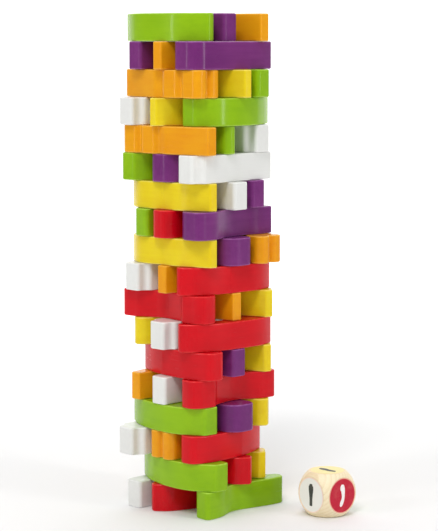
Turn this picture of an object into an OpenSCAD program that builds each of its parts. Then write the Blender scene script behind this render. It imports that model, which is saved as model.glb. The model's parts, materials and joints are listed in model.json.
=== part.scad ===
// Vegetable tumbling tower: eighteen crossed rows of three painted wooden blocks, and the die.
// Millimetres, Z up. The tower stands on z = 0 with its middle on the Z axis. Rows are counted
// from the table up: odd rows lie along X and even rows along Y.

/* [Blocks] */
// Length of a block, end to end
block_length = 62; // [52:1:75]
// Width of a block at its widest
block_width = 18.5; // [15.5:0.5:22.5]
// Thickness of a block, which is the height of a row
block_thickness = 15; // [12.5:0.5:18]

/* [Tower] */
// Room between two blocks that lie side by side
side_gap = 0.5; // [0.3:0.1:1.5]
// Air between one row and the next
row_gap = 0.05; // [0.05:0.01:0.2]
// How untidily the blocks are stacked: 0 is dead straight, 1 is as played
untidiness = 1; // [0:0.25:1]

/* [Die] */
// Side of the die, flat to flat
die_side = 24; // [20:0.5:29]
// Diameter of the ball that rounds the die, as a multiple of its side
die_rounding = 1.3; // [1.25:0.01:1.4]
// Table left between the tower and the die
die_away = 22; // [18:1:40]
// How far the die lies to the side of the tower's middle
die_aside = 32; // [27:0.5:45]
// How far the die is turned about the vertical, in degrees
die_turn = -5; // [-20:1:20]

/* [Fineness] */
// Widest angle one flat of a rounded corner takes up, in degrees
corner_step = 12; // [8:1:18]

/* [Hidden] */

$fn = 72;
row_height = block_thickness + row_gap;
lane_pitch = block_width + side_gap;

// The three lanes of a row: the near one faces the player
NEAR = 0;
MIDDLE = 1;
FAR = 2;

// The six vegetables
CUCUMBER = 0;
PEPPER = 1;
CORN = 2;
ONION = 3;
CARROT = 4;
AUBERGINE = 5;
PAINTS = ["#7fae27", "#cf1820", "#e8d13a", "#efefe8", "#ec9520", "#7a3a86"];

// Corners of an outline: share of the half length, share of the half width, and how much of the
// shorter side at the corner its rounding takes up. Each runs anticlockwise from the head end at -X.
CUCUMBER_CORNERS = [
    [-1, -1, 0.6], [-0.63, -1, 0.9], [-0.23, -0.35, 0.95], [0.66, -1, 0.9], [0.92, -1, 0.9],
    [1, -0.38, 0.8], [0.63, 0.49, 0.9], [0.1, 1, 0.95], [-0.53, 1, 0.95], [-0.97, 0.05, 0.35]
];
PEPPER_CORNERS = [
    [-1, -0.37, 0.8], [-0.81, -0.8, 0.8], [-0.52, -0.84, 0.6], [-0.42, -0.48, 0.8],
    [0.19, -0.09, 0.9], [0.63, -1, 0.9], [0.92, -1, 0.8], [1, -0.54, 0.6], [0.85, 0.13, 0.8],
    [0.39, 0.8, 0.9], [-0.1, 1, 0.9], [-0.61, 1, 0.9], [-0.98, 0.56, 0.8]
];
CORN_CORNERS = [
    [-1, -0.4, 0.5], [-0.89, -0.5, 0.7], [-0.82, -1, 0.7], [-0.45, -1, 0.9], [-0.1, -0.8, 0.8],
    [0.23, -1, 0.9], [0.52, -0.93, 0.9], [0.87, -0.43, 0.8], [0.95, 0, 0.8], [0.87, 0.43, 0.8],
    [0.61, 0.97, 0.9], [0.26, 1, 0.9], [0.03, 0.79, 0.8], [-0.39, 0.85, 0.9], [-0.73, 0.41, 0.9],
    [-0.97, 0.06, 0.5]
];
AUBERGINE_CORNERS = [
    [-1, -0.68, 0.9], [-0.87, -1, 0.9], [-0.56, -1, 0.9], [-0.16, -0.34, 0.9], [0.5, -0.23, 0.8],
    [0.68, -0.42, 0.7], [1, -0.42, 0.4], [1, 0.65, 0.4], [0.68, 0.86, 0.7], [-0.13, 1, 0.9],
    [-0.81, 1, 0.9], [-1, 0.42, 0.9]
];
// The even-sided ones give one side only, from the head to the foot
ONION_SIDE = [
    [-1, -0.58, 0.8], [-0.85, -0.63, 0.8], [-0.79, -0.95, 0.8], [-0.45, -1, 0.9],
    [0.13, -0.63, 0.9], [1, -0.58, 0.4]
];
CARROT_SIDE = [
    [-1, -0.25, 0.8], [-1, -0.68, 0.8], [-0.9, -1, 0.8], [-0.63, -1, 0.8], [-0.55, -0.71, 0.7],
    [-0.45, -1, 0.8], [-0.16, -1, 0.8], [-0.08, -0.76, 0.7], [0.1, -0.86, 0.7], [0.94, -0.38, 0.5],
    [1, -0.34, 0.9]
];
CARROT_CROWN = [-0.88, 0, 0.8]; // the dip between the two leaves of the top

function mirrored(side) = [for (i = [len(side) - 1 : -1 : 0]) [side[i][0], -side[i][1], side[i][2]]];
OUTLINES = [
    CUCUMBER_CORNERS, PEPPER_CORNERS, CORN_CORNERS,
    concat(ONION_SIDE, mirrored(ONION_SIDE)), concat(CARROT_SIDE, mirrored(CARROT_SIDE), [CARROT_CROWN]),
    AUBERGINE_CORNERS
];

// The stack, from the table up. Each row lists its near, middle and far block: the vegetable,
// 1 if its head end is at the back, 1 if it is turned over, then how far it was pushed along its
// lane and how far out of its lane, both in millimetres.
STACK = [
    [[CUCUMBER, 0, 0, 5, 3], [PEPPER, 1, 1, -1, 0], [ONION, 1, 0, -2, 1]],
    [[CUCUMBER, 0, 1, -3, 2], [PEPPER, 1, 1, -2, 0], [CORN, 0, 1, 3, 0]],
    [[PEPPER, 0, 1, 0, 0], [CARROT, 0, 0, -1, 0], [ONION, 0, 0, -7, 2]],
    [[CUCUMBER, 0, 1, 3, 4], [AUBERGINE, 0, 1, -3, 0], [CORN, 1, 0, -2, 1]],
    [[PEPPER, 0, 0, 0, 1], [ONION, 1, 0, -2, 0], [CARROT, 1, 0, -1, 0]],
    [[PEPPER, 0, 1, -2, 0], [AUBERGINE, 1, 1, 0, 0], [CORN, 0, 1, -1, 0]],
    [[PEPPER, 1, 1, -2, 3], [ONION, 0, 0, -3, 0], [CORN, 1, 0, -1, 1]],
    [[PEPPER, 0, 0, 3, 1], [CARROT, 1, 0, 3, 0], [CORN, 0, 1, -1, 1]],
    [[PEPPER, 1, 1, 0, 0], [CARROT, 1, 0, 1, 0], [ONION, 0, 0, -2, 2]],
    [[CORN, 0, 1, 2, 1], [AUBERGINE, 0, 1, -1, 0], [CARROT, 0, 0, -3, 2]],
    [[AUBERGINE, 0, 0, 1, 1], [PEPPER, 0, 0, -2, 0], [CUCUMBER, 0, 0, -1, 0]],
    [[CORN, 0, 1, 2, 1], [ONION, 1, 0, 0, 0], [AUBERGINE, 1, 1, 4, 0]],
    [[ONION, 0, 0, 0, 0], [AUBERGINE, 0, 1, 0, 0], [CUCUMBER, 0, 1, -2, 1]],
    [[CARROT, 1, 0, -1, 4], [CUCUMBER, 1, 0, 1, 0], [ONION, 0, 0, 4, 2]],
    [[CUCUMBER, 0, 1, 4, 2], [CORN, 0, 1, -4, 0], [ONION, 0, 0, -4, 4]],
    [[CARROT, 0, 0, 3, 2], [CORN, 0, 1, -4, 0], [CUCUMBER, 0, 0, -2, 1]],
    [[AUBERGINE, 0, 1, -1, 0], [CARROT, 1, 0, -2, 0], [AUBERGINE, 1, 0, 0, 0]],
    [[CUCUMBER, 1, 1, 5, 3], [AUBERGINE, 1, 1, 7, 0], [CARROT, 1, 0, 1, 0]],
];

function unit(v) = v / norm(v);
function angle_of(v) = atan2(v[1], v[0]);
function spot(corner) = [corner[0] * block_length, corner[1] * block_width] / 2;

// The arc that rounds one corner: it leaves each side no further off than the side's middle
function arc_points(before, at, after, ease) = let (
        back = unit(before - at), on = unit(after - at),
        reach = ease * min(norm(before - at), norm(after - at)) / 2,
        half = acos(back * on) / 2,
        middle = at + unit(back + on) * reach / cos(half),
        start = angle_of(at + back * reach - middle),
        turned = angle_of(at + on * reach - middle) - start,
        sweep = turned > 180 ? turned - 360 : turned < -180 ? turned + 360 : turned,
        steps = ceil(abs(sweep) / corner_step))
    [for (i = [0 : steps]) let (at_angle = start + sweep * i / steps)
        middle + reach * tan(half) * [cos(at_angle), sin(at_angle)]];

function outline(corners) = let (n = len(corners)) [
    for (i = [0 : n - 1]) each arc_points(
        spot(corners[(i + n - 1) % n]), spot(corners[i]), spot(corners[(i + 1) % n]), corners[i][2])
];

// Puts a point of an outline where the block lies: turned end for end, turned over, and laid
// along X or along Y in its lane
function laid(p, block, row, lane) = let (
        along = (block[1] == 1 ? -p[0] : p[0]) + untidiness * block[3],
        across = (block[2] == 1 ? -p[1] : p[1]) + (lane - MIDDLE) * (lane_pitch + untidiness * block[4]))
    row % 2 == 1 ? [along, across] : [across, along];

module block(row, lane) {
    block = STACK[row - 1][lane];
    color(PAINTS[block[0]])
        translate([0, 0, (row - 1) * row_height])
            linear_extrude(block_thickness)
                polygon([for (p = outline(OUTLINES[block[0]])) laid(p, block, row, lane)]);
}

module die() {
    color("#e3cfa4")
        translate([die_aside, -block_length / 2 - die_away - die_side / 2, die_side / 2])
            rotate([0, 0, die_turn])
                intersection() {
                    cube(die_side, center = true);
                    sphere(d = die_side * die_rounding);
                }
}

module row01_near_cucumber() block(1, NEAR);
module row01_middle_pepper() block(1, MIDDLE);
module row01_far_onion() block(1, FAR);
module row02_near_cucumber() block(2, NEAR);
module row02_middle_pepper() block(2, MIDDLE);
module row02_far_corn() block(2, FAR);
module row03_near_pepper() block(3, NEAR);
module row03_middle_carrot() block(3, MIDDLE);
module row03_far_onion() block(3, FAR);
module row04_near_cucumber() block(4, NEAR);
module row04_middle_aubergine() block(4, MIDDLE);
module row04_far_corn() block(4, FAR);
module row05_near_pepper() block(5, NEAR);
module row05_middle_onion() block(5, MIDDLE);
module row05_far_carrot() block(5, FAR);
module row06_near_pepper() block(6, NEAR);
module row06_middle_aubergine() block(6, MIDDLE);
module row06_far_corn() block(6, FAR);
module row07_near_pepper() block(7, NEAR);
module row07_middle_onion() block(7, MIDDLE);
module row07_far_corn() block(7, FAR);
module row08_near_pepper() block(8, NEAR);
module row08_middle_carrot() block(8, MIDDLE);
module row08_far_corn() block(8, FAR);
module row09_near_pepper() block(9, NEAR);
module row09_middle_carrot() block(9, MIDDLE);
module row09_far_onion() block(9, FAR);
module row10_near_corn() block(10, NEAR);
module row10_middle_aubergine() block(10, MIDDLE);
module row10_far_carrot() block(10, FAR);
module row11_near_aubergine() block(11, NEAR);
module row11_middle_pepper() block(11, MIDDLE);
module row11_far_cucumber() block(11, FAR);
module row12_near_corn() block(12, NEAR);
module row12_middle_onion() block(12, MIDDLE);
module row12_far_aubergine() block(12, FAR);
module row13_near_onion() block(13, NEAR);
module row13_middle_aubergine() block(13, MIDDLE);
module row13_far_cucumber() block(13, FAR);
module row14_near_carrot() block(14, NEAR);
module row14_middle_cucumber() block(14, MIDDLE);
module row14_far_onion() block(14, FAR);
module row15_near_cucumber() block(15, NEAR);
module row15_middle_corn() block(15, MIDDLE);
module row15_far_onion() block(15, FAR);
module row16_near_carrot() block(16, NEAR);
module row16_middle_corn() block(16, MIDDLE);
module row16_far_cucumber() block(16, FAR);
module row17_near_aubergine() block(17, NEAR);
module row17_middle_carrot() block(17, MIDDLE);
module row17_far_aubergine() block(17, FAR);
module row18_near_cucumber() block(18, NEAR);
module row18_middle_aubergine() block(18, MIDDLE);
module row18_far_carrot() block(18, FAR);

row01_near_cucumber();
row01_middle_pepper();
row01_far_onion();
row02_near_cucumber();
row02_middle_pepper();
row02_far_corn();
row03_near_pepper();
row03_middle_carrot();
row03_far_onion();
row04_near_cucumber();
row04_middle_aubergine();
row04_far_corn();
row05_near_pepper();
row05_middle_onion();
row05_far_carrot();
row06_near_pepper();
row06_middle_aubergine();
row06_far_corn();
row07_near_pepper();
row07_middle_onion();
row07_far_corn();
row08_near_pepper();
row08_middle_carrot();
row08_far_corn();
row09_near_pepper();
row09_middle_carrot();
row09_far_onion();
row10_near_corn();
row10_middle_aubergine();
row10_far_carrot();
row11_near_aubergine();
row11_middle_pepper();
row11_far_cucumber();
row12_near_corn();
row12_middle_onion();
row12_far_aubergine();
row13_near_onion();
row13_middle_aubergine();
row13_far_cucumber();
row14_near_carrot();
row14_middle_cucumber();
row14_far_onion();
row15_near_cucumber();
row15_middle_corn();
row15_far_onion();
row16_near_carrot();
row16_middle_corn();
row16_far_cucumber();
row17_near_aubergine();
row17_middle_carrot();
row17_far_aubergine();
row18_near_cucumber();
row18_middle_aubergine();
row18_far_carrot();
die();
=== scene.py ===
"""Looks of a vegetable tumbling tower: painted wooden blocks in crossed rows, and a wooden colour die.

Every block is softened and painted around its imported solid, the die is cut from a ball and gets its six
painted discs, and a plain studio holds them. Lengths are in metres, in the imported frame's own axes.
"""

import json
import logging
import math
from dataclasses import dataclass, field
from enum import Enum
from typing import Any, Iterable, Optional, Union

import bmesh
import bpy
from mathutils import Matrix, Vector


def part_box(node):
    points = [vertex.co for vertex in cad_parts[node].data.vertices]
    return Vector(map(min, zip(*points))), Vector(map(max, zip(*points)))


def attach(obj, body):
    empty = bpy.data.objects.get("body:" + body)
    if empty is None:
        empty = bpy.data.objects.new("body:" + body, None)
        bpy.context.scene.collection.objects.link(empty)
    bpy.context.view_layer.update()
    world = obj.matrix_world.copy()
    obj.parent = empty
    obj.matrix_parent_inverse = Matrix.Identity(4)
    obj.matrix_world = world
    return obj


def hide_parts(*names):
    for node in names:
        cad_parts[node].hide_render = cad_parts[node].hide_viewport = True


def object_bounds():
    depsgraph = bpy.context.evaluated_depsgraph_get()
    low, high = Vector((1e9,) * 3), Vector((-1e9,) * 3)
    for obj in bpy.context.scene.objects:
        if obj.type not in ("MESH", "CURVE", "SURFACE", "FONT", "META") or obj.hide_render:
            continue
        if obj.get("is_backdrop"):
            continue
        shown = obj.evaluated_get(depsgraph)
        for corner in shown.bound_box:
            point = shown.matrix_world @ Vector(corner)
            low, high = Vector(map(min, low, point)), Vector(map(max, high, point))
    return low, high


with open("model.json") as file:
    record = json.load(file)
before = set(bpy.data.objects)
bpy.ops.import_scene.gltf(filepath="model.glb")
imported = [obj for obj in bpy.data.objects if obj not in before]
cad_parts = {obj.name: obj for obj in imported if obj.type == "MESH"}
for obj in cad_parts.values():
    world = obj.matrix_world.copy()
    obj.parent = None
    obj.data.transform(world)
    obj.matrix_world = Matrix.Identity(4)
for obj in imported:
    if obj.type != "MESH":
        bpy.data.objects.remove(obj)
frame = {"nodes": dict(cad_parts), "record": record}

log = logging.getLogger("tower")

MM = 0.001
RIM = "rim"  # how far round its rounded rim a point of a block lies, 0 on a flat and 1 on the edge

Rgb = tuple[float, float, float]
Term = Union["Wire", float]
Sockets = dict[Union[int, str], Any]

BLACK: Rgb = (0.0, 0.0, 0.0)
BRIGHT: Rgb = (1.0, 1.0, 1.0)
UPRIGHT = 90.0  # degrees from the table to a wall


# ---------------------------------------------------------------- shader workbench


class Wire:
    """The output of a shader node, used as a number in Python expressions."""

    def __init__(self, bench: "Bench", socket: Optional[bpy.types.NodeSocket]) -> None:
        """Keeps the socket and the bench its sums are built on.

        Args:
            bench: the material's workbench.
            socket: the output socket to read.
        """
        self.bench = bench
        self.socket = socket

    def _sum(self, operation: str, *terms: Term) -> "Wire":
        """Adds one Math node.

        Args:
            operation: the Math node's operation.
            terms: its values or wires, in socket order.

        Returns:
            The node's output.
        """
        return self.bench.node("Math", {"operation": operation}, dict(enumerate(terms)))

    def __add__(self, other: Term) -> "Wire":
        """self + other."""
        return self._sum("ADD", self, other)

    def __radd__(self, other: Term) -> "Wire":
        """other + self."""
        return self._sum("ADD", other, self)

    def __sub__(self, other: Term) -> "Wire":
        """self - other."""
        return self._sum("SUBTRACT", self, other)

    def __rsub__(self, other: Term) -> "Wire":
        """other - self."""
        return self._sum("SUBTRACT", other, self)

    def __mul__(self, other: Term) -> "Wire":
        """self * other."""
        return self._sum("MULTIPLY", self, other)

    def __rmul__(self, other: Term) -> "Wire":
        """other * self."""
        return self._sum("MULTIPLY", other, self)

    def __truediv__(self, other: Term) -> "Wire":
        """self / other."""
        return self._sum("DIVIDE", self, other)

    def __rtruediv__(self, other: Term) -> "Wire":
        """other / self."""
        return self._sum("DIVIDE", other, self)

    def __pow__(self, other: Term) -> "Wire":
        """self ** other."""
        return self._sum("POWER", self, other)

    def __abs__(self) -> "Wire":
        """The size of self, without its sign."""
        return self._sum("ABSOLUTE", self)

    def fraction(self) -> "Wire":
        """What is left of self above the whole number below it."""
        return self._sum("FRACT", self)

    def ramp(self, low: float, high: float) -> "Wire":
        """Rises smoothly from 0 at low to 1 at high, and stays there.

        Args:
            low: the value that gives 0.
            high: the value that gives 1; under low, the ramp falls.

        Returns:
            The mask, from 0 to 1.
        """
        ends = {0: self, 1: low, 2: high, 3: 0.0, 4: 1.0}
        return self.bench.node("MapRange", {"interpolation_type": "SMOOTHSTEP"}, ends)


class Bench:
    """The node tree of one material, built from Python expressions."""

    def __init__(self, name: str) -> None:
        """Makes an empty node material.

        Args:
            name: the material's name.
        """
        self.material = bpy.data.materials.new(name)
        self.material.use_nodes = True
        self.tree = self.material.node_tree
        self.tree.nodes.clear()

    def node(
        self,
        kind: str,
        settings: Optional[dict[str, Any]] = None,
        sockets: Optional[Sockets] = None,
        out: Union[int, str] = 0,
    ) -> Wire:
        """Adds any node: its settings first, then the values or links of its sockets.

        Args:
            kind: the node's type, without its ShaderNode prefix.
            settings: the node's properties.
            sockets: a value or a wire for each named or numbered input.
            out: which output to return.

        Returns:
            The chosen output, or an empty wire from the output node, which has none.
        """
        made = self.tree.nodes.new("ShaderNode" + kind)
        for key, value in (settings or {}).items():
            setattr(made, key, value)
        for key, value in (sockets or {}).items():
            if isinstance(value, Wire):
                self.tree.links.new(value.socket, made.inputs[key])
            else:
                made.inputs[key].default_value = value
        return Wire(self, made.outputs[out] if made.outputs else None)

    def place(self) -> Wire:
        """Where a point is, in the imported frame."""
        return self.node("TexCoord", out="Object")

    def facing(self) -> Wire:
        """Which way the surface faces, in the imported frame."""
        return self.node("TexCoord", out="Normal")

    def part(self, vector: Wire, axis: int) -> Wire:
        """One number of a vector.

        Args:
            vector: the vector.
            axis: 0, 1 or 2.

        Returns:
            That number.
        """
        return self.node("SeparateXYZ", None, {0: vector}, out=axis)

    def stretched(self, vector: Wire, scale: Iterable[float], turn: float = 0.0) -> Wire:
        """Scales a place before a pattern reads it.

        Args:
            vector: the place.
            scale: cycles a metre along each axis.
            turn: how far the place is turned about Z first, in radians.

        Returns:
            The scaled place.
        """
        sockets = {"Vector": vector, "Scale": tuple(scale), "Rotation": (0.0, 0.0, turn)}
        return self.node("Mapping", {"vector_type": "POINT"}, sockets)

    def noise(self, vector: Wire, scale: float, detail: float = 3.0, rough: float = 0.5) -> Wire:
        """A soft random field from 0 to 1.

        Args:
            vector: the place it is read at.
            scale: how fine it is.
            detail: how many finer layers it has.
            rough: how strong those are.

        Returns:
            The field.
        """
        sockets = {"Vector": vector, "Scale": scale, "Detail": detail, "Roughness": rough}
        return self.node("TexNoise", None, sockets)

    def tint(
        self, mask: Term, low: Union[Rgb, Wire], high: Union[Rgb, Wire], how: str = "MIX"
    ) -> Wire:
        """Mixes two colours.

        Args:
            mask: 0 gives low and 1 gives high.
            low: the first colour.
            high: the second colour.
            how: the Mix node's blend type.

        Returns:
            The mixed colour.
        """
        sockets: Sockets = {0: mask}
        for index, colour in ((6, low), (7, high)):  # the Mix node's two colour inputs
            sockets[index] = colour if isinstance(colour, Wire) else (*colour, 1.0)
        return self.node("Mix", {"data_type": "RGBA", "blend_type": how}, sockets, out=2)

    def relief(
        self, height: Wire, depth: float, strength: float, under: Optional[Wire] = None
    ) -> Wire:
        """A bump that feeds a Normal.

        Args:
            height: the relief, from 0 to 1.
            depth: its full height, in metres.
            strength: how much of it shows.
            under: another relief that this one lies on.

        Returns:
            The bent normal.
        """
        sockets: Sockets = {"Height": height, "Distance": depth, "Strength": strength}
        if under is not None:
            sockets["Normal"] = under
        return self.node("Bump", None, sockets)

    def surface(self, sockets: Sockets) -> bpy.types.Material:
        """Ends the tree in a Principled shader.

        Args:
            sockets: a value or a wire for each of the shader's named inputs.

        Returns:
            The finished material.
        """
        shader = self.node("BsdfPrincipled", None, sockets)
        self.node("OutputMaterial", None, {"Surface": shader})
        return self.material


# ---------------------------------------------------------------- finishes


class Grain(Enum):
    """Which way the fibres of a piece of wood run, as its pattern's scale along X, Y and Z."""

    ALONG_X = (0.05, 1.0, 1.0)
    ALONG_Y = (1.0, 0.05, 1.0)

    @property
    def axis(self) -> int:
        """The number of the axis that the fibres run along."""
        return 0 if self is Grain.ALONG_X else 1


@dataclass(frozen=True)
class Paint:
    """A toy maker's gloss paint, sprayed over fine-sanded wood."""

    name: str
    colour: Rgb
    deep: Rgb  # the same paint where it has pooled
    wear_and_highlight: Rgb  # a lighter tone of the same paint: where an edge wears through, and a painted highlight along every rounded rim
    rough: float = 0.2  # roughness of the paint on a flat
    sheen: float = 0.10  # how much the paint itself mirrors
    lacquer: float = 0.18  # weight of the clear coat over it
    blur: float = 0.13  # roughness of that coat
    raised: float = 0.05 * MM  # how far the fibres stand up under the paint
    dimple: float = 0.06 * MM  # depth of the spray's orange peel

    def dress(self, grain: Grain) -> bpy.types.Material:
        """Makes the paint's material for wood whose fibres run one way.

        Args:
            grain: which way they run.

        Returns:
            The material.
        """
        bench = Bench(f"{self.name}_{grain.name.lower()}")
        place = bench.place()
        along = bench.stretched(place, grain.value)
        rim = bench.node("Attribute", {"attribute_name": RIM}, out="Fac")
        end = abs(bench.part(bench.facing(), grain.axis)).ramp(0.72, 0.95)

        drift = bench.noise(place, 38.0, 2.0)
        fibre = bench.noise(along, 1500.0, 4.0, 0.62)
        streak = bench.noise(along, 420.0, 3.0, 0.55)
        peel = bench.noise(place, 620.0, 2.0, 0.45)
        pore = bench.noise(place, 3100.0, 2.0, 0.6)
        worn = rim * bench.noise(place, 260.0, 4.0, 0.7).ramp(0.46, 0.68)

        pooled = (drift.ramp(0.3, 0.72) * 0.55 + streak.ramp(0.35, 0.75) * 0.3) * (1.0 - rim * 0.6)
        coat = bench.tint(pooled, self.colour, self.deep)
        coat = bench.tint(end * pore.ramp(0.5, 0.72) * 0.35, coat, self.deep)
        # painted highlight: every rounded rim is lightened toward the pale tone, and its worn patches
        # further
        coat = bench.tint(rim * 0.38 + worn * 0.35, coat, self.wear_and_highlight)

        dull = self.rough + drift * 0.07 + streak * 0.05 + end * 0.07 + worn * 0.16
        grained = bench.relief(fibre * 0.6 + streak * 0.4, self.raised, 0.5)
        skin = bench.relief(peel, self.dimple, 0.55, under=grained)
        return bench.surface(
            {
                "Base Color": coat,
                "Roughness": dull,
                "Normal": skin,
                "Specular IOR Level": self.sheen,
                "Coat Weight": self.lacquer,
                "Coat Roughness": self.blur,
            }
        )


@dataclass(frozen=True)
class BareWood:
    """Pale close-grained wood, sanded and waxed, its year rings seen all round the die."""

    name: str
    early: Rgb  # spring's wood
    late: Rgb  # summer's wood
    blush: Rgb = (1.0, 0.78, 0.5)  # what warms it in patches
    ring: float = 2.1 * MM  # one year's growth
    wander: float = 1.6 * MM  # how far a ring strays
    pith: tuple[float, float] = (-0.055, 0.038)  # the tree's middle, aside from the die's
    raised: float = 0.05 * MM  # how far the fibres stand up
    wax: float = 0.12  # weight of the wax over it
    blur: float = 0.3  # roughness of the wax

    def dress(self, centre: Vector, turn: float) -> bpy.types.Material:
        """Makes the wood's material around the die's own middle.

        Args:
            centre: the die's middle.
            turn: how far the die is turned about Z, in radians.

        Returns:
            The material.
        """
        bench = Bench(self.name)
        about = {0: bench.place(), 1: tuple(centre)}
        place = bench.node("VectorMath", {"operation": "SUBTRACT"}, about)
        place = bench.stretched(place, (1.0, 1.0, 1.0), -turn)
        stray = bench.noise(place, 55.0, 2.0) * self.wander
        across = bench.part(place, 0) - self.pith[0] + stray
        beside = bench.part(place, 2) - self.pith[1] + stray
        radius = (across * across + beside * beside) ** 0.5
        year = (radius / self.ring).fraction()
        late = year.ramp(0.35, 0.93) * year.ramp(1.0, 0.95)
        fibres = bench.stretched(place, (1.0, 0.06, 1.0))
        fibre = bench.noise(fibres, 1700.0, 4.0, 0.65)
        fleck = bench.noise(fibres, 620.0, 2.0, 0.5).ramp(0.62, 0.74)
        blush = bench.noise(place, 60.0, 2.0).ramp(0.3, 0.75)

        tone = bench.tint(late * 0.34 + fibre.ramp(0.35, 0.8) * 0.3, self.early, self.late)
        tone = bench.tint(fleck * 0.35, tone, self.late)
        tone = bench.tint(blush * 0.16, tone, self.blush, "MULTIPLY")
        grained = bench.relief(fibre * 0.7 + late * 0.3, self.raised, 0.6)
        return bench.surface(
            {
                "Base Color": tone,
                "Roughness": 0.5 - late * 0.08 + fibre * 0.08,
                "Normal": grained,
                "Coat Weight": self.wax,
                "Coat Roughness": self.blur,
            }
        )


@dataclass(frozen=True)
class Print:
    """Ink stamped flat on the die: even, a little dry, with pinholes where the wood shows through."""

    name: str
    colour: Rgb
    under: Rgb  # what shows through it
    sheen: float = 0.25  # how much it mirrors
    grit: float = 0.03 * MM  # depth of its texture

    def dress(self) -> bpy.types.Material:
        """Makes the print's material.

        Returns:
            The material.
        """
        bench = Bench(self.name)
        place = bench.place()
        patch = bench.noise(place, 240.0, 4.0, 0.6)
        pin = bench.noise(place, 2300.0, 2.0, 0.6).ramp(0.64, 0.76)
        tone = bench.tint(patch.ramp(0.4, 0.8) * 0.05 + pin * 0.12, self.colour, self.under)
        skin = bench.relief(bench.noise(place, 1500.0, 3.0, 0.6), self.grit, 0.5)
        return bench.surface(
            {
                "Base Color": tone,
                "Roughness": 0.4 + patch * 0.1,
                "Normal": skin,
                "Specular IOR Level": self.sheen,
            }
        )


@dataclass(frozen=True)
class Sheet:
    """The studio's pale matt sheet, lit from in front, with a painted glow that brightens it behind the
    tower.
    """

    name: str
    colour: Rgb
    cloudy: Rgb = (0.82, 0.82, 0.82)  # its colour in faint patches
    rough: float = 0.85
    sheen: float = 0.2
    glow: float = 0.75
    heading: float = 45.0  # degrees that turn the painted glow's bands onto X
    dark: float = 0.05  # how far behind the tower the painted glow begins to show
    lit: float = 0.9  # and where it is full

    def dress(self) -> bpy.types.Material:
        """Makes the sheet's material.

        Returns:
            The material.
        """
        bench = Bench(self.name)
        place = bench.place()
        cloud = bench.noise(place, 3.0, 2.0)
        tone = bench.tint(cloud * 0.5, self.colour, self.cloudy)
        behind = bench.part(bench.stretched(place, (1.0, 1.0, 1.0), math.radians(self.heading)), 1)
        # painted glow: the sheet gives off light of its own, rising behind the tower where no lamp stands
        glow = bench.tint(behind.ramp(self.dark, self.lit), BLACK, BRIGHT)
        return bench.surface(
            {
                "Base Color": tone,
                "Roughness": self.rough,
                "Specular IOR Level": self.sheen,
                "Emission Color": glow,
                "Emission Strength": self.glow,
            }
        )


# the third colour of each paint is its pale tone, for worn edges and the painted highlight on every rim
GREEN = Paint("green_paint", (0.270, 0.490, 0.006), (0.200, 0.395, 0.004), (0.46, 0.70, 0.09))
RED = Paint("red_paint", (0.635, 0.002, 0.009), (0.520, 0.001, 0.007), (0.80, 0.06, 0.06))
YELLOW = Paint("yellow_paint", (0.790, 0.630, 0.014), (0.700, 0.490, 0.006), (0.90, 0.78, 0.20))
WHITE = Paint("white_paint", (0.770, 0.775, 0.750), (0.715, 0.715, 0.690), (0.90, 0.90, 0.89))
ORANGE = Paint("orange_paint", (0.810, 0.355, 0.006), (0.740, 0.260, 0.003), (0.90, 0.50, 0.09))
PURPLE = Paint("purple_paint", (0.192, 0.032, 0.180), (0.125, 0.015, 0.125), (0.36, 0.13, 0.36))
PALE_WOOD = BareWood("pale_wood", (0.870, 0.770, 0.540), (0.720, 0.560, 0.300))
FLOOR_SHEET = Sheet("floor_sheet", (0.84, 0.84, 0.84))


class Vegetable(Enum):
    """A kind of block: its word in the node names, its paint and its print on the die."""

    CUCUMBER = ("cucumber", GREEN)
    PEPPER = ("pepper", RED)
    CORN = ("corn", YELLOW)
    ONION = ("onion", WHITE)
    CARROT = ("carrot", ORANGE)
    AUBERGINE = ("aubergine", PURPLE)

    @property
    def word(self) -> str:
        """The word that ends its nodes' names."""
        return self.value[0]

    @property
    def paint(self) -> Paint:
        """The paint its blocks wear."""
        return self.value[1]

    @classmethod
    def of(cls, node: str) -> "Vegetable":
        """The vegetable whose word ends a node's name."""
        return next(kind for kind in cls if node.endswith(kind.word))

    def block(self) -> str:
        """The first node that is one of its blocks."""
        return next(name for name in sorted(frame["nodes"]) if name.endswith(self.word))


# ---------------------------------------------------------------- mesh helpers


HAIR = 0.001 * MM  # points nearer than this to a cut lie on it
JOIN = 0.002 * MM  # points nearer than this are one
FLAT = math.radians(0.2)  # faces that turn less than this are one
EVEN = 60  # how strongly large flats shade the rounded edges beside them


def merged_copy(node: str) -> bmesh.types.BMesh:
    """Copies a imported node, its loose triangles joined and its flats made whole.

    Args:
        node: the node's name.

    Returns:
        The copy.
    """
    mesh = bmesh.new()
    mesh.from_mesh(frame["nodes"][node].data)
    bmesh.ops.remove_doubles(mesh, verts=mesh.verts, dist=JOIN)
    bmesh.ops.dissolve_limit(mesh, angle_limit=FLAT, verts=mesh.verts, edges=mesh.edges)
    return mesh


def sharp_edges(mesh: bmesh.types.BMesh, crease: float) -> list[bmesh.types.BMEdge]:
    """The edges where two faces meet at more than an angle.

    Args:
        mesh: the shape.
        crease: the angle, in radians.

    Returns:
        The edges.
    """
    return [e for e in mesh.edges if len(e.link_faces) == 2 and e.calc_face_angle(0.0) > crease]


def grown(made: dict[str, list[Any]], kind: type) -> list[Any]:
    """The vertices or the edges that an extrusion has made."""
    return [part for part in made["geom"] if isinstance(part, kind)]


def placed_object(
    mesh: bmesh.types.BMesh, name: str, material: bpy.types.Material
) -> bpy.types.Object:
    """Turns a finished bmesh into a smooth object in the scene.

    Args:
        mesh: the shape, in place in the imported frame.
        name: the object's name.
        material: what it wears.

    Returns:
        The object.
    """
    data = bpy.data.meshes.new(name)
    mesh.to_mesh(data)
    mesh.free()
    data.materials.append(material)
    data.shade_smooth()
    made = bpy.data.objects.new(name, data)
    bpy.context.scene.collection.objects.link(made)
    return made


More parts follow.
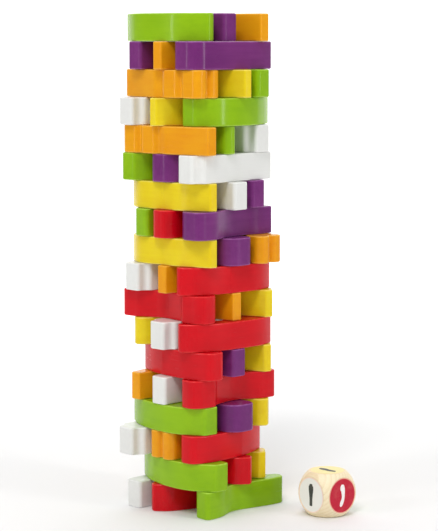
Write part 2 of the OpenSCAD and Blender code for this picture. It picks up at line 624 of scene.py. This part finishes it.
def as_piece(
    mesh: bmesh.types.BMesh, name: str, material: bpy.types.Material, body: str, slot: str
) -> bpy.types.Object:
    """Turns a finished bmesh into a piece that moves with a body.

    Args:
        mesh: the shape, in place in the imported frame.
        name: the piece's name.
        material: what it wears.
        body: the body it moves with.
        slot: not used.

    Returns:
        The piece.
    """
    piece = placed_object(mesh, name, material)
    weigh = piece.modifiers.new("even_shading", "WEIGHTED_NORMAL")
    weigh.mode, weigh.weight, weigh.keep_sharp = "FACE_AREA", EVEN, True
    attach(piece, body)
    return piece


# ---------------------------------------------------------------- blocks


@dataclass
class Wardrobe:
    """The paints already mixed, so that blocks of one colour and grain share theirs."""

    mixed: dict[tuple[str, Grain], bpy.types.Material] = field(default_factory=dict)

    def painted(self, paint: Paint, grain: Grain) -> bpy.types.Material:
        """The material of a paint over one grain, mixed at its first use.

        Args:
            paint: the paint.
            grain: which way the fibres under it run.

        Returns:
            The material.
        """
        key = (paint.name, grain)
        if key not in self.mixed:
            self.mixed[key] = paint.dress(grain)
        return self.mixed[key]


@dataclass
class Block:
    """One painted block, with the edges that the sander rounded."""

    node: str
    body: str
    edge: float = 0.75 * MM  # radius of a sanded edge
    steps: int = 4  # faces round it
    crease: float = math.radians(24)  # an edge that turns more than this was sanded

    @property
    def kind(self) -> Vegetable:
        """The vegetable it is cut as."""
        return Vegetable.of(self.node)

    @property
    def grain(self) -> Grain:
        """The way its fibres run, which is along its length.

        Returns:
            The grain.
        """
        low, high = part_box(self.node)
        size = high - low
        return Grain.ALONG_X if size.x > size.y else Grain.ALONG_Y

    def sanded(self) -> bmesh.types.BMesh:
        """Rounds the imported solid's edges and marks how far round them each point lies.

        Returns:
            The shape, with the rim mark on its vertices.
        """
        mesh = merged_copy(self.node)
        mark = mesh.verts.layers.float.new(RIM)
        bent = bmesh.ops.bevel(
            mesh,
            geom=sharp_edges(mesh, self.crease),
            offset=self.edge,
            offset_type="OFFSET",
            segments=self.steps,
            profile=0.5,
            affect="EDGES",
            clamp_overlap=False,
            material=-1,
        )
        rounded = set(bent["faces"])
        for vert in bent["verts"]:
            if vert.is_valid and all(face in rounded for face in vert.link_faces):
                vert[mark] = 1.0
        return mesh

    def build(self, wardrobe: Wardrobe) -> bpy.types.Object:
        """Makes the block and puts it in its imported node's place.

        Args:
            wardrobe: where its paint comes from.

        Returns:
            The piece.
        """
        paint = self.kind.paint
        coat = wardrobe.painted(paint, self.grain)
        piece = as_piece(self.sanded(), f"{self.node}_painted", coat, self.body, paint.name)
        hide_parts(self.node)
        return piece


ROW = "row"  # how the name of a block's node begins


@dataclass
class Tower:
    """All the blocks of the stack."""

    wardrobe: Wardrobe = field(default_factory=Wardrobe)

    def build(self) -> list[bpy.types.Object]:
        """Builds every block, body by body.

        Returns:
            The pieces.
        """
        pieces = []
        for body, nodes in sorted(frame["record"]["behaviour"]["bodies"].items()):
            for node in nodes:
                if node.startswith(ROW):
                    piece = Block(node, body).build(self.wardrobe)
                    log.info("block %s: %d faces", piece.name, len(piece.data.polygons))
                    pieces.append(piece)
        return pieces


# ---------------------------------------------------------------- die


@dataclass(frozen=True)
class Face:
    """One face of the die: where it looks, the vegetable it calls for, and its two inks."""

    outward: tuple[int, int, int]
    kind: Vegetable
    ink: Rgb  # of its disc
    mark: Rgb


INK_DARK: Rgb = (0.045, 0.050, 0.045)
INK_PALE: Rgb = (0.900, 0.860, 0.850)


@dataclass
class Die:
    """A wooden die cut from a ball, with a printed disc on every face."""

    node: str = "die"
    body: str = "die"
    slot: str = "bare_wood"
    disc: float = 0.765  # radius of a printed disc, as a share of half the side
    border: float = 0.55 * MM  # the pale line round a disc
    faded: Rgb = (1.0, 0.62, 0.44)  # what pales that line
    fading: float = 0.6  # how far it is paled
    ink: float = 0.04 * MM  # thickness of a layer of print
    mark_length: float = 1.02  # length of a vegetable mark, as a share of half the side
    around: int = 96  # sides of a disc and of the ball
    ease: float = 0.55 * MM  # radius of the edge round a flat
    steps: int = 4  # faces round that edge
    crease: float = math.radians(25)  # an edge that turns more than this goes round a flat
    faces: tuple[Face, ...] = (
        Face((-1, 0, 0), Vegetable.ONION, (0.840, 0.840, 0.790), INK_DARK),
        Face((0, -1, 0), Vegetable.PEPPER, (0.510, 0.004, 0.030), INK_PALE),
        Face((0, 0, 1), Vegetable.CORN, (0.860, 0.760, 0.340), INK_DARK),
        Face((1, 0, 0), Vegetable.CUCUMBER, (0.230, 0.440, 0.010), INK_PALE),
        Face((0, 1, 0), Vegetable.AUBERGINE, (0.170, 0.030, 0.160), INK_PALE),
        Face((0, 0, -1), Vegetable.CARROT, (0.780, 0.300, 0.012), INK_PALE),
    )
    centre: Vector = field(init=False)
    half: float = field(init=False)  # half the side, less the room for three layers of print
    ball: float = field(init=False)  # radius of the ball it is cut from
    turn: float = field(init=False)  # how far it is turned about Z, in radians

    def __post_init__(self) -> None:
        """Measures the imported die: its middle, half its side, its ball's radius and its turn."""
        low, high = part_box(self.node)
        data = frame["nodes"][self.node].data
        self.centre = (low + high) / 2
        self.half = (high.z - low.z) / 2 - 3 * self.ink
        self.ball = max((v.co - self.centre).length for v in data.vertices)
        upright = [p for p in data.polygons if p.normal.y < -0.9 and abs(p.normal.z) < 0.001]
        front = max(upright, key=lambda p: p.area)
        self.turn = math.atan2(front.normal.x, -front.normal.y)

    def placed(self, outward: tuple[int, int, int]) -> Matrix:
        """Where things printed on a face go.

        Args:
            outward: where the face looks, before the die is turned.

        Returns:
            The matrix that takes the XY plane, with Y up the face, onto it.
        """
        out = Vector(outward)
        up = Vector((0, 0, 1)) if out.z == 0 else Vector((0, 1, 0))
        basis = Matrix((up.cross(out), up, out)).transposed().to_4x4()
        return self.stand() @ Matrix.Translation(out * self.half) @ basis

    def stand(self) -> Matrix:
        """The matrix that turns the die and takes it from the origin to its place."""
        return Matrix.Translation(self.centre) @ Matrix.Rotation(self.turn, 4, "Z")

    def carved(self) -> bmesh.types.BMesh:
        """Cuts six flats on a ball and eases their round edges.

        Returns:
            The die's shape, in place.
        """
        mesh = bmesh.new()
        rings = self.around // 2
        bmesh.ops.create_uvsphere(mesh, u_segments=self.around, v_segments=rings, radius=self.ball)
        for face in self.faces:
            out = Vector(face.outward)
            cut = bmesh.ops.bisect_plane(
                mesh,
                geom=mesh.verts[:] + mesh.edges[:] + mesh.faces[:],
                plane_co=out * self.half,
                plane_no=out,
                clear_outer=True,
                dist=HAIR,
            )
            rim = [e for e in cut["geom_cut"] if isinstance(e, bmesh.types.BMEdge)]
            bmesh.ops.holes_fill(mesh, edges=rim, sides=0)
        bmesh.ops.recalc_face_normals(mesh, faces=mesh.faces)
        bmesh.ops.bevel(
            mesh,
            geom=sharp_edges(mesh, self.crease),
            offset=self.ease,
            offset_type="OFFSET",
            segments=self.steps,
            profile=0.5,
            affect="EDGES",
            clamp_overlap=True,
            material=-1,
        )
        bmesh.ops.transform(mesh, verts=mesh.verts, matrix=self.stand())
        return mesh

    def roundel(self, radius: float, low: float, high: float, where: Matrix) -> bmesh.types.BMesh:
        """A flat round of print.

        Args:
            radius: its radius.
            low: how far over the face it starts.
            high: how far over the face it ends.
            where: the face's matrix.

        Returns:
            The shape, in place.
        """
        mesh = bmesh.new()
        bmesh.ops.create_circle(mesh, cap_ends=True, segments=self.around, radius=radius)
        lifted = bmesh.ops.extrude_face_region(mesh, geom=mesh.faces[:])
        bmesh.ops.translate(mesh, verts=grown(lifted, bmesh.types.BMVert), vec=(0, 0, high - low))
        bmesh.ops.translate(mesh, verts=mesh.verts, vec=(0, 0, low))
        bmesh.ops.recalc_face_normals(mesh, faces=mesh.faces)
        bmesh.ops.transform(mesh, verts=mesh.verts, matrix=where)
        return mesh

    def mark(self, face: Face, low: float, high: float, where: Matrix) -> bmesh.types.BMesh:
        """The outline of a face's vegetable, upright, taken from one of its blocks.

        Args:
            face: the face.
            low: how far over the face the mark starts.
            high: how far over the face it ends.
            where: the face's matrix.

        Returns:
            The shape, in place.
        """
        node = face.kind.block()
        mesh = merged_copy(node)
        bottom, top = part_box(node)
        middle, size = (bottom + top) / 2, top - bottom
        flat = self.mark_length * self.half / max(size.x, size.y)
        upright = Matrix.Rotation(math.pi / 2 if size.x > size.y else 0.0, 4, "Z")
        scale = Matrix.Diagonal((flat, flat, (high - low) / size.z, 1.0))
        middle.z = bottom.z
        lift = Matrix.Translation((0, 0, low))
        matrix = where @ lift @ scale @ upright @ Matrix.Translation(-middle)
        bmesh.ops.transform(mesh, verts=mesh.verts, matrix=matrix)
        return mesh

    def printed(self, face: Face) -> list[bpy.types.Object]:
        """Prints one face: a pale line, the disc over it, and the mark over that.

        Args:
            face: the face.

        Returns:
            The three pieces.
        """
        where, radius = self.placed(face.outward), self.disc * self.half
        pale = tuple(c + (f - c) * self.fading for c, f in zip(face.ink, self.faded))
        border = self.roundel(radius + self.border, -self.ink, self.ink, where)
        disc = self.roundel(radius, -self.ink, 2 * self.ink, where)
        mark = self.mark(face, self.ink, 3 * self.ink, where)
        layers = (("border", border, pale), ("disc", disc, face.ink), ("mark", mark, face.mark))
        pieces = []
        for part, mesh, ink in layers:
            name = f"die_{part}_{face.kind.word}"
            finish = Print(f"{name}_print", ink, PALE_WOOD.early)
            pieces.append(as_piece(mesh, name, finish.dress(), self.body, face.kind.paint.name))
        return pieces

    def build(self) -> list[bpy.types.Object]:
        """Makes the die and its prints.

        Returns:
            The pieces.
        """
        wood = PALE_WOOD.dress(self.centre, self.turn)
        pieces = [as_piece(self.carved(), "die_wood", wood, self.body, self.slot)]
        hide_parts(self.node)
        for face in self.faces:
            pieces += self.printed(face)
        for piece in pieces:
            log.info("die piece %s: %d faces", piece.name, len(piece.data.polygons))
        return pieces


# ---------------------------------------------------------------- studio


@dataclass
class Softbox:
    """An oblong studio light that looks at the tower."""

    name: str
    azimuth: float  # degrees, as the camera's
    elevation: float
    distance: float
    width: float
    height: float
    power: float

    def build(self, target: Vector) -> bpy.types.Object:
        """Hangs the light and turns it to its target.

        Args:
            target: where it looks.

        Returns:
            The light.
        """
        data = bpy.data.lights.new(self.name, "AREA")
        data.shape, data.size, data.size_y = "RECTANGLE", self.width, self.height
        data.energy = self.power
        light = bpy.data.objects.new(self.name, data)
        bpy.context.scene.collection.objects.link(light)
        light.location = target + direction(self.azimuth, self.elevation) * self.distance
        light.rotation_euler = (target - light.location).to_track_quat("-Z", "Y").to_euler()
        return light


def direction(azimuth: float, elevation: float) -> Vector:
    """The way from the tower to a place seen at an azimuth and an elevation, in degrees."""
    a, e = math.radians(azimuth), math.radians(elevation)
    return Vector((math.sin(a) * math.cos(e), -math.cos(a) * math.cos(e), math.sin(e)))


@dataclass
class Studio:
    """The floor and the sweep behind it, the even light, and the camera."""

    azimuth: float = -45.0
    distance: float = 1.032  # from the tower's axis to the lens, along the floor
    lens_height: float = 0.2555
    aside: float = 0.0098  # the lens stands past the axis, on the die's side
    pitch: float = 5.16  # degrees down
    focal: float = 128.0
    film: float = 36.0
    shift: float = -0.1
    near: float = 0.01  # nothing closer to the lens is seen
    far: float = 50.0  # nor anything further
    sky: float = 0.38  # strength of the even light from all round
    aim: float = 0.45  # where the lamps look, as a share of the tower's height
    spread: float = 3.0  # half the sheet's width, and how far it lies in front
    reach: float = 1.3  # how far behind the tower the sheet begins to rise
    rise: float = 1.2  # radius of its bend
    bends: int = 32  # faces round it
    wall: float = 1.0  # height of the sheet above it
    boxes: tuple[Softbox, ...] = (
        Softbox("key_box", -58.0, 50.0, 1.5, 0.45, 0.45, 9.0),
        Softbox("left_strip", -104.0, 13.0, 1.9, 0.22, 1.0, 6.5),
        Softbox("right_strip", 12.0, 13.0, 1.9, 0.26, 1.0, 9.2),
        Softbox("top_box", 135.0, 80.0, 1.6, 1.4, 1.4, 12.0),
    )

    def sheet(self) -> bpy.types.Object:
        """Lays one sheet on the floor and sweeps it up behind the tower.

        Returns:
            The sheet.
        """
        back = direction(self.azimuth, 0.0) * -1.0
        across = Vector((-back.y, back.x, 0.0))
        mesh = bmesh.new()
        sides = (-self.spread, self.spread)
        front = [mesh.verts.new(across * side - back * self.spread) for side in sides]
        floor = bmesh.ops.extrude_edge_only(mesh, edges=[mesh.edges.new(front)])
        behind = back * (self.spread + self.reach)
        bmesh.ops.translate(mesh, verts=grown(floor, bmesh.types.BMVert), vec=behind)
        bend = bmesh.ops.spin(
            mesh,
            geom=grown(floor, bmesh.types.BMEdge),
            cent=back * self.reach + Vector((0.0, 0.0, self.rise)),
            axis=across * -1.0,
            angle=math.radians(UPRIGHT),
            steps=self.bends,
        )
        last = [e for e in bend["geom_last"] if isinstance(e, bmesh.types.BMEdge)]
        wall = bmesh.ops.extrude_edge_only(mesh, edges=last)
        bmesh.ops.translate(mesh, verts=grown(wall, bmesh.types.BMVert), vec=(0.0, 0.0, self.wall))
        bmesh.ops.remove_doubles(mesh, verts=mesh.verts, dist=0.1 * MM)
        bmesh.ops.recalc_face_normals(mesh, faces=mesh.faces)
        sheet = placed_object(mesh, "sheet", FLOOR_SHEET.dress())
        sheet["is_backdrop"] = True
        return sheet

    def light(self) -> None:
        """Sets the even sky and hangs the softboxes."""
        world = bpy.data.worlds.new("studio")
        world.use_nodes = True
        back = world.node_tree.nodes["Background"]
        back.inputs["Color"].default_value = (*BRIGHT, 1.0)
        back.inputs["Strength"].default_value = self.sky
        bpy.context.scene.world = world
        target = Vector((0.0, 0.0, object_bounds()[1].z * self.aim))
        for box in self.boxes:
            box.build(target)
            log.info("light %s", box.name)

    def camera(self) -> bpy.types.Object:
        """Stands the camera in front of the tower's near corner.

        Returns:
            The camera.
        """
        data = bpy.data.cameras.new("camera")
        data.lens, data.sensor_width = self.focal, self.film
        data.shift_y = self.shift
        data.clip_start, data.clip_end = self.near, self.far
        camera = bpy.data.objects.new("camera", data)
        bpy.context.scene.collection.objects.link(camera)
        back = direction(self.azimuth, 0.0)
        right = Vector((-back.y, back.x, 0.0))
        camera.location = back * self.distance + right * self.aside + Vector((0.0, 0.0, self.lens_height))
        look = direction(self.azimuth, self.pitch) * -1.0
        camera.rotation_euler = look.to_track_quat("-Z", "Y").to_euler()
        bpy.context.scene.camera = camera
        return camera

    def build(self) -> None:
        """Makes the whole studio."""
        self.sheet()
        self.light()
        self.camera()
        bpy.context.scene.view_settings.view_transform = "Standard"


def main() -> None:
    """Builds the tower, the die and the studio."""
    logging.basicConfig(level=logging.INFO, format="%(name)s: %(message)s")
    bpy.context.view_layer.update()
    Studio().build()
    blocks = Tower().build()
    prints = Die().build()
    log.info("%d blocks, %d die pieces", len(blocks), len(prints))


if __name__ == "__main__":
    main()
